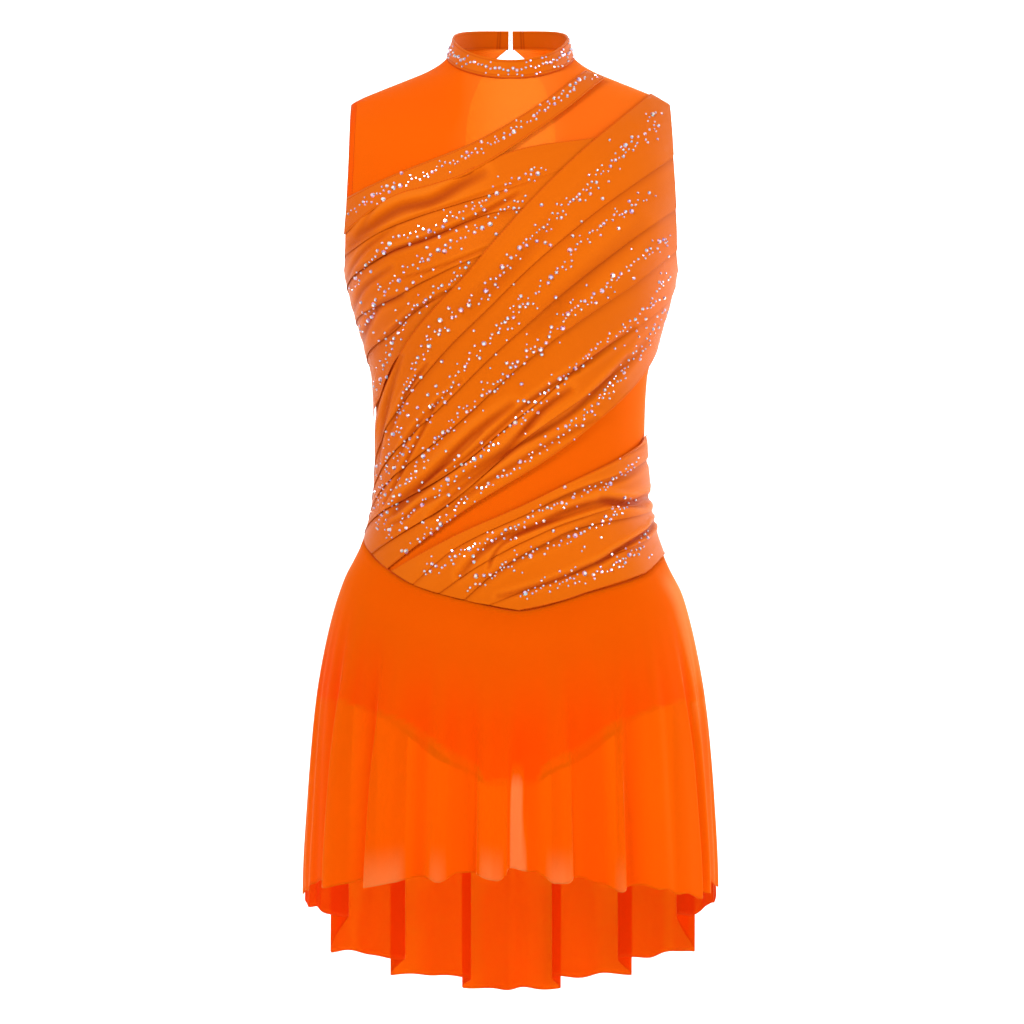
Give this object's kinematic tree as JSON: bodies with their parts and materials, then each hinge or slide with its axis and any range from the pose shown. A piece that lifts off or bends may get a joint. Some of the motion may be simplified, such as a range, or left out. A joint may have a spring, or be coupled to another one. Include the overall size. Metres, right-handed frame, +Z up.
{
  "type": "lyrical dance dress",
  "caption": "Sleeveless dance dress in its worn, hollow shape: sheer mesh bodice with stand collar, diagonal pleated satin drapes, high-low flared skirt and attached brief.",
  "frame": {"origin": "middle of the line where the shoulders meet the base of the neck, at the wearer's hold", "axes": "+Z up along the wearer, front of the dress towards -Y, wearer's left towards +X"},
  "size_m": [0.3993, 0.3262, 0.959],
  "materials": {
    "power_mesh": "sheer stretch mesh, vivid orange, matt",
    "satin_spandex": "stretch satin knit, orange, soft sheen",
    "skirt_mesh": "fine soft stretch mesh, orange, matt, slightly sheer",
    "brief_knit": "plain stretch knit, orange, matt",
    "rhinestone": "faceted glass stones with an iridescent coat",
    "steel_wire": "plated hook and eye wire"
  },
  "bodies": {
    "root": {"collar_band": "satin_spandex", "front_mesh": "power_mesh", "back_mesh_left": "power_mesh", "back_mesh_right": "power_mesh", "shoulder_band": "satin_spandex", "upper_drape": "satin_spandex", "main_drape": "satin_spandex", "waist_drape": "satin_spandex", "skirt_front": "skirt_mesh", "skirt_back": "skirt_mesh", "brief_front": "brief_knit", "brief_back": "brief_knit", "collar_hook": "steel_wire", "collar_eye": "steel_wire"}
  },
  "joints": []
}
